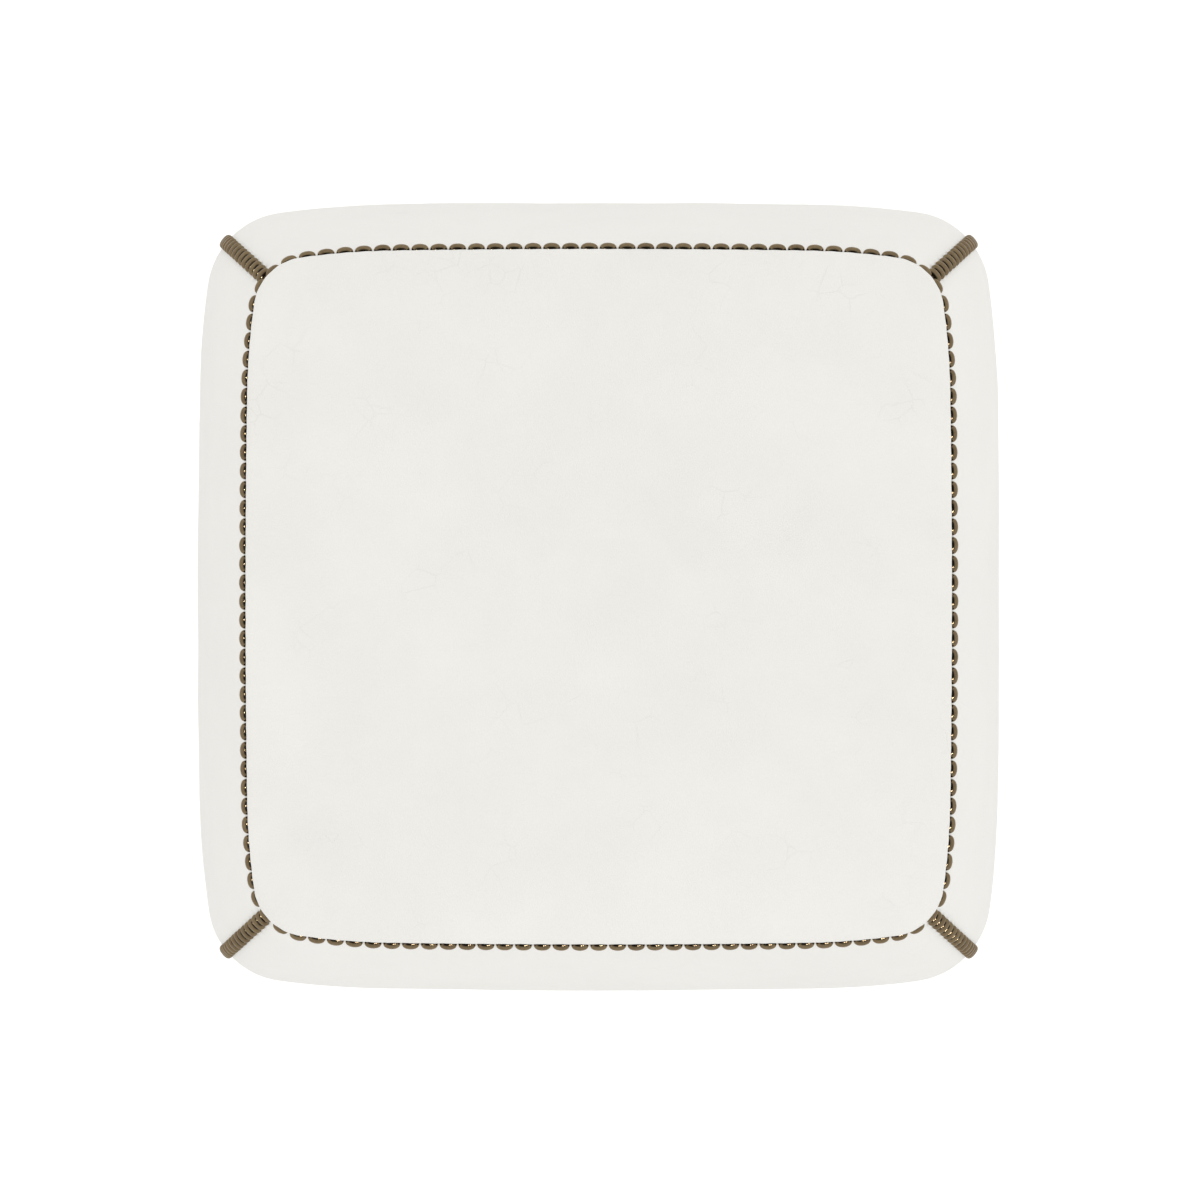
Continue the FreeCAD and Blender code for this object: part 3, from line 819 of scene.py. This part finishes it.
class Nodes:
    """A small helper that adds nodes to one node tree and links them."""

    def __init__(self, tree):
        self.tree = tree
        self.coordinates = self.add("ShaderNodeTexCoord").outputs

    def add(self, kind, inputs=None, **settings):
        """A new node with these settings, each input linked to a socket or given a value."""
        node = self.tree.nodes.new(kind)
        for key, value in settings.items():
            setattr(node, key, value)
        for key, value in (inputs or {}).items():
            self.feed(node.inputs[key], value)
        return node

    def feed(self, socket, value):
        """Links another node's socket to this one, or sets this one's value."""
        if isinstance(value, bpy.types.NodeSocket):
            self.tree.links.new(value, socket)
        else:
            socket.default_value = value

    def math(self, operation, first, second):
        """One operation on two values."""
        return self.add("ShaderNodeMath", {0: first, 1: second}, operation=operation).outputs[0]

    def spread(self, value, low, high, to_low=0.0, to_high=1.0):
        """A value's range from low to high stretched to another range, and held within it."""
        return self.add("ShaderNodeMapRange", {
            "Value": value, "From Min": low, "From Max": high,
            "To Min": to_low, "To Max": to_high}).outputs[0]


class Material(Nodes):
    """A new material with the nodes that the pieces' patterns need."""

    def __init__(self, name):
        self.material = bpy.data.materials.new(name)
        self.material.use_nodes = True
        super().__init__(self.material.node_tree)
        self.shader = self.tree.nodes["Principled BSDF"]
        self.output = self.tree.nodes["Material Output"]
        self.place = self.coordinates["Object"]

    def noise(self, scale, detail=2.0, rough=0.5, place=None, result="Fac"):
        """Cloudy noise with this many lumps to the metre."""
        return self.add("ShaderNodeTexNoise", {
            "Vector": place or self.place, "Scale": scale, "Detail": detail,
            "Roughness": rough}).outputs[result]

    def cells(self, scale, place=None, result="Distance", randomness=1.0, **settings):
        """Irregular cells, this many to the metre."""
        return self.add("ShaderNodeTexVoronoi", {
            "Vector": place or self.place, "Scale": scale, "Randomness": randomness},
            **settings).outputs[result]

    def colour(self, factor, first, second):
        """A mix of two colours, each a socket or three numbers."""
        node = self.tree.nodes.new("ShaderNodeMix")
        node.data_type = "RGBA"
        for place, value in zip(MIX_INPUTS, (factor, first, second)):
            self.feed(node.inputs[place], tuple(value) + (1.0,) if isinstance(value, tuple) else value)
        return node.outputs[MIX_RESULT]

    def stain(self, base, colour, mask, amount):
        """The base with a colour mixed in where the mask is 1, up to this amount."""
        return self.colour(self.math("MULTIPLY", mask, amount), base, colour)

    def bump(self, height, distance, strength):
        """The direction of a surface that these heights make uneven."""
        return self.add("ShaderNodeBump", {
            "Height": height, "Distance": distance, "Strength": strength}).outputs["Normal"]

    def finish(self, **values):
        """Gives these values to the shader and returns the material."""
        for key, value in values.items():
            self.feed(self.shader.inputs[key.replace("_", " ")], value)
        return self.material


def linear(red, green, blue):
    """A colour given as 0 to 255 on a screen, as the renderer's linear values."""
    values = np.array([red, green, blue]) / 255.0
    return tuple(np.where(values <= 0.04045, values / 12.92, ((values + 0.055) / 1.055) ** 2.4))


def darker(colour, share):
    """A colour with this share of its brightness."""
    return tuple(value * share for value in colour)


def leather_grain(n, cells, line):
    """Heights of the grain: pebbles of changing depth, pores, and fine random creases."""
    roundness = 0.6
    pore_height = 0.22
    crease_depth = 1.6
    pebble = n.math("POWER", n.spread(cells, low=0.0, high=0.32), roundness)
    pores = n.spread(n.noise(2600.0, rough=0.6), low=0.40, high=0.62)
    deeper = n.spread(n.noise(34.0), low=0.30, high=0.70, to_low=0.55, to_high=1.0)
    height = n.math("MULTIPLY", pebble, deeper)
    height = n.math("ADD", height, n.math("MULTIPLY", pores, pore_height))
    return n.math("SUBTRACT", height, n.math("MULTIPLY", line, crease_depth))


def leather_colour(n, colour, mottling, cells, line):
    """The leather's colour: soft mottling, with painted shade between the pebbles and in the creases.
    """
    paler_share = 0.6
    dark = darker(colour, 1 - mottling)
    pale = tuple(min(1.0, value * (1 + mottling * paler_share)) for value in colour)
    clouds = n.spread(n.noise(14.0, detail=4.0, rough=0.6), low=0.35, high=0.65)
    base = n.colour(clouds, dark, pale)
    # Painted shade: the grooves between the pebbles are darkened.
    painted_shade_gaps = n.spread(cells, low=0.0, high=0.10, to_low=1.0, to_high=0.0)
    base = n.stain(base, darker(colour, 0.72), painted_shade_gaps, amount=0.055)
    # Painted shade: the crease lines are darkened.
    return n.stain(base, darker(colour, 0.7), line, amount=0.10)


def leather_material(name, colour, grain_depth, mottling):
    """Full-grain leather: pebbled grain, pores, fine random creases, soft mottling and painted shade
    in the grooves and creases.
    """
    wobble = 0.0016
    n = Material(name)
    shift = n.add("ShaderNodeVectorMath", {
        0: n.noise(260.0, result="Color"), "Scale": wobble}, operation="SCALE").outputs[0]
    warped = n.add("ShaderNodeVectorMath", {0: n.place, 1: shift}, operation="ADD").outputs[0]
    cells = n.cells(780.0, warped, feature="DISTANCE_TO_EDGE")
    lines = n.cells(62.0, warped, feature="DISTANCE_TO_EDGE")
    line = n.spread(lines, low=0.0, high=0.035, to_low=1.0, to_high=0.0)
    line = n.math("MULTIPLY", line, n.spread(n.noise(22.0), low=0.56, high=0.70))
    rough = n.noise(90.0, detail=3.0, rough=0.55)
    return n.finish(
        Base_Color=leather_colour(n, colour, mottling, cells, line),
        Roughness=n.spread(rough, low=0.3, high=0.7, to_low=0.50, to_high=0.60),
        Specular_IOR_Level=0.35,
        Normal=n.bump(leather_grain(n, cells, line), grain_depth, strength=0.55))


def bronze_material():
    """Antique bronze: olive-brown metal with dark patina in its clouds and specks."""
    speck_height = 0.4
    n = Material("Antique_bronze")
    tone = n.add("ShaderNodeAttribute", attribute_name="tone").outputs["Fac"]
    clouds = n.noise(420.0, detail=3.0, rough=0.6)
    specks = n.noise(2400.0, rough=0.6)
    base = n.colour(tone, linear(132, 116, 90), linear(122, 106, 83))
    base = n.stain(base, linear(92, 74, 50), n.spread(clouds, low=0.42, high=0.66), amount=0.35)
    base = n.stain(base, linear(58, 44, 28), n.spread(specks, low=0.60, high=0.72), amount=0.30)
    height = n.math("ADD", clouds, n.math("MULTIPLY", specks, speck_height))
    return n.finish(
        Base_Color=base, Metallic=1.0, Specular_Tint=(0.74, 0.68, 0.60, 1.0),
        Roughness=n.spread(clouds, low=0.3, high=0.7, to_low=0.13, to_high=0.21),
        Normal=n.bump(height, distance=0.00005, strength=0.15))


def wood_material(name, pale, dark, stretch, plies=False):
    """Sawn wood: long grain streaks and pores, or stacked plies on a panel's edge."""
    n = Material(name)
    along = n.add("ShaderNodeMapping", {"Vector": n.place, "Scale": stretch}).outputs[0]
    rings = n.add("ShaderNodeTexWave", {
        "Vector": along, "Scale": 38.0, "Distortion": 5.0, "Detail": 3.0,
        "Detail Scale": 1.4}).outputs["Fac"]
    fibres = n.noise(900.0, detail=3.0, rough=0.6, place=along)
    base = n.colour(rings, pale, dark)
    base = n.stain(base, darker(dark, 0.6), fibres, amount=0.35)
    if plies:
        bands = n.add("ShaderNodeTexWave", {
            "Vector": n.place, "Scale": 105.0, "Distortion": 0.4, "Detail": 1.0},
            bands_direction="Z").outputs["Fac"]
        base = n.stain(base, dark, n.spread(bands, low=0.45, high=0.55), amount=0.45)
    return n.finish(
        Base_Color=base, Roughness=0.62, Specular_IOR_Level=0.3,
        Normal=n.bump(fibres, distance=0.0002, strength=0.4))


def foam_material(name, colour, scale):
    """Open-cell padding: soft cells and pits."""
    n = Material(name)
    cells = n.cells(scale)
    base = n.colour(n.spread(cells, low=0.0, high=0.6), colour, darker(colour, 0.72))
    base = n.stain(base, darker(colour, 0.85), n.noise(30.0, detail=3.0), amount=0.25)
    return n.finish(
        Base_Color=base, Roughness=0.95, Specular_IOR_Level=0.15,
        Normal=n.bump(cells, distance=0.0006, strength=0.6))


def cloth_material():
    """Black non-woven cloth: pressed fibres with a dotted bond."""
    bond_height = 0.7
    fibre_height = 0.5
    n = Material("Dust_cloth")
    fibres = n.noise(1500.0, detail=4.0, rough=0.7)
    bond = n.spread(n.cells(520.0, randomness=0.15), low=0.18, high=0.30)
    base = n.colour(fibres, linear(24, 24, 26), linear(44, 44, 47))
    base = n.stain(base, linear(16, 16, 17), n.math("SUBTRACT", 1.0, bond), amount=0.5)
    height = n.math("ADD", n.math("MULTIPLY", bond, bond_height),
                    n.math("MULTIPLY", fibres, fibre_height))
    return n.finish(
        Base_Color=base, Roughness=0.88, Specular_IOR_Level=0.2,
        Normal=n.bump(height, distance=0.00035, strength=0.6))


def plastic_material():
    """Dark moulded nylon with a faint spark-eroded texture and scuffs."""
    n = Material("Glide_nylon")
    scuff = n.spread(n.noise(160.0, detail=4.0, rough=0.7), low=0.55, high=0.75)
    return n.finish(
        Base_Color=n.stain(linear(38, 35, 33), linear(74, 70, 66), scuff, amount=0.4),
        Roughness=n.spread(scuff, low=0.0, high=1.0, to_low=0.42, to_high=0.6),
        Normal=n.bump(n.noise(3200.0), distance=0.0001, strength=0.3))


def steel_material():
    """Zinc-plated steel with a faint crystalline bloom."""
    n = Material("Zinc_steel")
    bloom = n.spread(n.cells(900.0, result="Color"), low=0.0, high=1.0)
    return n.finish(
        Base_Color=n.colour(bloom, linear(168, 168, 166), linear(196, 195, 190)), Metallic=1.0,
        Roughness=n.spread(n.noise(600.0), low=0.3, high=0.7, to_low=0.28, to_high=0.42))


def board_material():
    """Brown bending fibreboard with pressed fibres."""
    n = Material("Fibreboard")
    fibres = n.noise(700.0, detail=5.0, rough=0.75)
    return n.finish(
        Base_Color=n.colour(fibres, linear(120, 86, 56), linear(158, 120, 84)), Roughness=0.8,
        Normal=n.bump(fibres, distance=0.0002, strength=0.4))


# The pieces


def dress(piece, material):
    """Gives a piece one material in place of any it has."""
    piece.data.materials.clear()
    piece.data.materials.append(material)


def finish_piece(piece, material, slot, *nodes):
    """Dresses a piece, attaches it to its body and hides the CAD nodes it stands for."""
    dress(piece, material)
    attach(piece, "root")
    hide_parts(*nodes)


def build_cover():
    """The leather of the seat and of the four sides."""
    seat = leather_material("Seat_leather_grain", linear(240, 239, 235),
                            grain_depth=0.00016, mottling=0.018)
    sides = leather_material("Side_leather_grain", linear(241, 240, 236),
                             grain_depth=0.00008, mottling=0.010)
    piece = seat_shell("Seat_leather_cover", 0.0, LEATHER, shaped_seat)
    finish_piece(piece, seat, "seat_leather", "seat_leather")
    for side in range(4):
        piece = side_leather(side)
        finish_piece(piece, sides, "side_leather", "side_leather_" + SIDES[side])


def build_padding():
    """The side foams, the seat foam and the wadding over it."""
    foam = foam_material("Upholstery_foam", linear(232, 220, 176), scale=900.0)
    for side in range(4):
        piece = foam_panel(side)
        finish_piece(piece, foam, "foam", "side_foam_" + SIDES[side])
    piece = seat_pad()
    finish_piece(piece, foam, "foam", "seat_foam")
    wadding = foam_material("Polyester_wadding", linear(240, 240, 238), scale=260.0)
    piece = seat_shell("Seat_wadding_layer", LEATHER + LAYER_GAP, LEATHER + WADDING * WADDING_KEPT)
    finish_piece(piece, wadding, "wadding", "seat_wadding")


def build_nails():
    """The row under the seat and the columns down the corners."""
    bronze = bronze_material()
    piece = nail_cluster("Nail_row", ROW_PLACES, ROW_NORMALS, ROW_SEED)
    finish_piece(piece, bronze, "nail_bronze", "top_nails")
    for corner, name in enumerate(CORNERS):
        piece = nail_cluster("Nail_column_" + name, *COLUMNS[corner], COLUMN_SEED + corner)
        finish_piece(piece, bronze, "nail_bronze", "corner_nails_" + name)


def build_underside():
    """The dust cover."""
    piece, width, length = dust_sheet()
    finish_piece(piece, cloth_material(), "dust_cloth", "dust_cover")


def dress_frame():
    """Materials for the CAD's own wood, board, nylon and steel pieces."""
    plywood = wood_material("Birch_plywood", linear(214, 186, 142), linear(186, 152, 106),
                            stretch=(0.08, 1.0, 1.0), plies=True)
    poplar = wood_material("Poplar", linear(198, 170, 126), linear(160, 130, 90),
                           stretch=(1.0, 1.0, 0.08))
    board = board_material()
    steel = steel_material()
    nylon = plastic_material()
    for name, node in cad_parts.items():
        if name in ("top_deck", "base_panel") or name.startswith("ribs_"):
            dress(node, plywood)
        elif name.startswith(("corner_post_", "battens_")):
            dress(node, poplar)
        elif name.startswith("side_board_"):
            dress(node, board)
        elif name in ("glide_screws", "frame_screws", "staples"):
            dress(node, steel)
        elif name.startswith("glide_"):
            dress(node, nylon)


# Stage, light and camera


FLOOR_HALF = 6.0
FLOOR_WHITE = (0.92, 0.92, 0.92, 1.0)
FLOOR_GLOW = 0.30
BACKDROP = (0.8, 0.8, 0.8, 1.0)

# The room's light for matt surfaces: its level low down and overhead, and where it is brighter.
ROOM_COLOUR = (1.0, 0.995, 0.985, 1.0)
HORIZON = 1.07
OVERHEAD = 1.0
OVERHEAD_FROM = 0.6
BRIGHTER_WAY = (0.045, -0.015, 0.0)

# The room as metal and sheen reflect it: bright up to one height, dim above another.
BRIGHT_BELOW = 0.12
DIM_ABOVE = 0.48
BRIGHT = 1.0
DIM = 0.03

# Lamps that only metal and sheen reflect: the room lights the leather evenly by itself.
LAMPS = (
    ("Lamp_left", (-1.9, 0.1, 2.3)),
    ("Lamp_front", (0.75, -1.9, 2.1)),
    ("Lamp_front_right", (1.7, -1.5, 2.0)),
)
LAMP_SIZE = 0.50
LAMP_POWER = 18.0

# The photo's frame at the height of the top edge, and the object's middle in it in pixels.
CAMERA_ABOVE_EDGE = 2.222
FRAME_AT_EDGE = 0.768
SENSOR = 36.0
IMAGE = 1200
OBJECT_PIXEL = (598.75, 596.7)
FAR_CLIP = 50.0


def build_stage():
    """A white floor that keeps a soft shadow and shows as white round the footstool."""
    corners = [(-FLOOR_HALF, -FLOOR_HALF, 0), (FLOOR_HALF, -FLOOR_HALF, 0),
               (FLOOR_HALF, FLOOR_HALF, 0), (-FLOOR_HALF, FLOOR_HALF, 0)]
    floor = new_mesh("Floor", corners, [(0, 1, 2, 3)], smooth=False)
    n = Material("Floor_white")
    seen = n.add("ShaderNodeLightPath").outputs["Is Camera Ray"]
    glow = n.add("ShaderNodeEmission", {
        "Color": (1, 1, 1, 1), "Strength": n.math("MULTIPLY", seen, FLOOR_GLOW)}).outputs[0]
    both = n.add("ShaderNodeAddShader", {0: n.shader.outputs[0], 1: glow}).outputs[0]
    n.feed(n.output.inputs["Surface"], both)
    dress(floor, n.finish(Base_Color=FLOOR_WHITE, Roughness=0.9, Specular_IOR_Level=0.0))


def room_light(n, way, height):
    """Light on matt surfaces, brighter low down and to the front right."""
    level = n.spread(height, 0.0, OVERHEAD_FROM, HORIZON, OVERHEAD)
    sideways = n.add("ShaderNodeVectorMath", {0: way, 1: BRIGHTER_WAY}, operation="DOT_PRODUCT")
    strength = n.math("ADD", level, sideways.outputs["Value"])
    return n.add("ShaderNodeBackground", {"Color": ROOM_COLOUR, "Strength": strength}).outputs[0]


def room_reflected(n, height):
    """The room as metal and sheen show it, bright low down and dim overhead."""
    strength = n.spread(height, BRIGHT_BELOW, DIM_ABOVE, BRIGHT, DIM)
    return n.add("ShaderNodeBackground", {"Color": BACKDROP, "Strength": strength}).outputs[0]


def build_world():
    """A plain pale room: what lights the leather, what metal reflects and what the camera sees."""
    world = bpy.data.worlds.new("Studio")
    bpy.context.scene.world = world
    world.use_nodes = True
    world.node_tree.nodes.clear()
    n = Nodes(world.node_tree)
    way = n.coordinates["Generated"]
    height = n.add("ShaderNodeSeparateXYZ", {0: way}).outputs["Z"]
    rays = n.add("ShaderNodeLightPath").outputs
    backdrop = n.add("ShaderNodeBackground", {"Color": BACKDROP, "Strength": 1.0}).outputs[0]
    room = n.add("ShaderNodeMixShader", {
        0: rays["Is Glossy Ray"], 1: room_light(n, way, height), 2: room_reflected(n, height)})
    shown = n.add("ShaderNodeMixShader", {
        0: rays["Is Camera Ray"], 1: room.outputs[0], 2: backdrop})
    n.add("ShaderNodeOutputWorld", {"Surface": shown.outputs[0]})


def look_along(direction):
    """Euler angles that point an object's -Z along a direction."""
    x, y, z = direction / np.linalg.norm(direction)
    return math.acos(-z), 0.0, math.atan2(-x, y)


def build_lamps():
    """Three round lamps that aim at the middle of the footstool."""
    for name, place in LAMPS:
        light = bpy.data.lights.new(name, "AREA")
        light.shape = "DISK"
        light.size = LAMP_SIZE
        light.energy = LAMP_POWER
        lamp = bpy.data.objects.new(name, light)
        bpy.context.scene.collection.objects.link(lamp)
        lamp.visible_diffuse = False
        lamp.location = place
        lamp.rotation_euler = look_along(np.array([0, 0, MIDDLE]) - np.array(place))


def build_camera():
    """Straight down from over the middle, with the object's middle where the photo has it."""
    data = bpy.data.cameras.new("Camera")
    data.sensor_width = SENSOR
    data.sensor_fit = "HORIZONTAL"
    data.lens = SENSOR * CAMERA_ABOVE_EDGE / FRAME_AT_EDGE
    data.shift_x = (IMAGE / 2 - OBJECT_PIXEL[0]) / IMAGE
    data.shift_y = (OBJECT_PIXEL[1] - IMAGE / 2) / IMAGE
    data.clip_end = FAR_CLIP
    camera = bpy.data.objects.new("Camera", data)
    bpy.context.scene.collection.objects.link(camera)
    camera.location = (0, 0, TOP_EDGE + CAMERA_ABOVE_EDGE)
    bpy.context.scene.camera = camera


build_camera()
build_cover()
build_padding()
build_nails()
build_underside()
dress_frame()
build_stage()
build_world()
build_lamps()
bpy.context.scene.view_settings.view_transform = "Standard"
